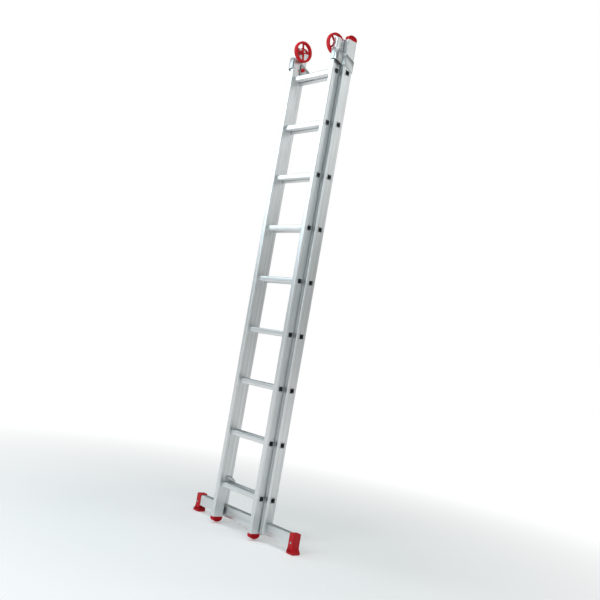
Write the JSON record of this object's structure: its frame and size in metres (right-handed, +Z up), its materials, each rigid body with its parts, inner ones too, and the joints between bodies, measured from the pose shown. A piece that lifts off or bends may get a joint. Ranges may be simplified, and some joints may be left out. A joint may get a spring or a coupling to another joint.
{
  "type": "extension ladder",
  "caption": "Upright push-up extension ladder of two aluminium sections with red wheels, feet, shoes and a wide stabiliser bar.",
  "frame": {"origin": "under the middle of the bounding box, on the floor that the bar's two shoes stand on", "axes": "+Z up along the stiles, +X to the right seen from the front, +Y to the rear; the fly section and its wheels are at -Y and the base section and the stabiliser bar at +Y"},
  "size_m": [0.8716, 0.1432, 2.662],
  "materials": {
    "aluminium_profile": "brushed",
    "aluminium_strip": "satin",
    "red_plastic": "semi-gloss moulded",
    "black_plastic": "matte",
    "zinc_steel": "zinc plated"
  },
  "bodies": {
    "base": {"base_stile_left": "aluminium_profile", "base_stile_right": "aluminium_profile", "base_rung_1": "aluminium_profile", "base_rung_2": "aluminium_profile", "base_rung_3": "aluminium_profile", "base_rung_4": "aluminium_profile", "base_rung_5": "aluminium_profile", "base_rung_6": "aluminium_profile", "base_rung_7": "aluminium_profile", "base_rung_8": "aluminium_profile", "base_rung_9": "aluminium_profile", "base_top_cap_left": "red_plastic", "base_top_cap_right": "red_plastic", "stabiliser_bar": "aluminium_profile", "bar_shoe_left": "red_plastic", "bar_shoe_right": "red_plastic", "shoe_screw_left": "zinc_steel", "shoe_screw_right": "zinc_steel", "bar_bolt_left": "zinc_steel", "bar_bolt_right": "zinc_steel", "guide_bracket_left": "aluminium_strip", "guide_bracket_right": "aluminium_strip", "guide_liner_left": "black_plastic", "guide_liner_right": "black_plastic", "bracket_bolt_left": "zinc_steel", "bracket_bolt_right": "zinc_steel"},
    "fly": {"fly_stile_left": "aluminium_profile", "fly_stile_right": "aluminium_profile", "fly_rung_1": "aluminium_profile", "fly_rung_2": "aluminium_profile", "fly_rung_3": "aluminium_profile", "fly_rung_4": "aluminium_profile", "fly_rung_5": "aluminium_profile", "fly_rung_6": "aluminium_profile", "fly_rung_7": "aluminium_profile", "fly_rung_8": "aluminium_profile", "fly_rung_9": "aluminium_profile", "fly_foot_left": "red_plastic", "fly_foot_right": "red_plastic", "wheel_axle_left": "zinc_steel", "wheel_axle_right": "zinc_steel", "hook_pivot_left": "zinc_steel", "hook_pivot_right": "zinc_steel"},
    "wheel_left": {"wall_wheel_left": "red_plastic"},
    "hook_left": {"catch_hook_left": "aluminium_strip"},
    "clamp_left": {"clamp_knob_left": "red_plastic", "clamp_screw_left": "zinc_steel"},
    "wheel_right": {"wall_wheel_right": "red_plastic"},
    "hook_right": {"catch_hook_right": "aluminium_strip"},
    "clamp_right": {"clamp_knob_right": "red_plastic", "clamp_screw_right": "zinc_steel"}
  },
  "joints": [
    {"name": "fly_slide", "type": "slide", "parent": "base", "child": "fly", "axis": [0, 0, 1], "range_m": [0, 1.68]},
    {"name": "wheel_left_spin", "type": "hinge", "parent": "fly", "child": "wheel_left", "pos_m": [-0.1305, -0.01415, 2.6045], "axis": [1, 0, 0], "continuous": true},
    {"name": "hook_left_swing", "type": "hinge", "parent": "fly", "child": "hook_left", "pos_m": [-0.1477, 0.00385, 0.244], "axis": [1, 0, 0], "range_deg": [0, 135]},
    {"name": "clamp_left_turn", "type": "hinge", "parent": "base", "child": "clamp_left", "pos_m": [-0.1437, 0.01285, 2.5102], "axis": [-1, 0, 0], "range_deg": [-360, 0]},
    {"name": "wheel_right_spin", "type": "hinge", "parent": "fly", "child": "wheel_right", "pos_m": [0.1305, -0.01415, 2.6045], "axis": [1, 0, 0], "continuous": true},
    {"name": "hook_right_swing", "type": "hinge", "parent": "fly", "child": "hook_right", "pos_m": [0.1477, 0.00385, 0.244], "axis": [1, 0, 0], "range_deg": [0, 135]},
    {"name": "clamp_right_turn", "type": "hinge", "parent": "base", "child": "clamp_right", "pos_m": [0.1437, 0.01285, 2.5102], "axis": [1, 0, 0], "range_deg": [-360, 0]}
  ]
}
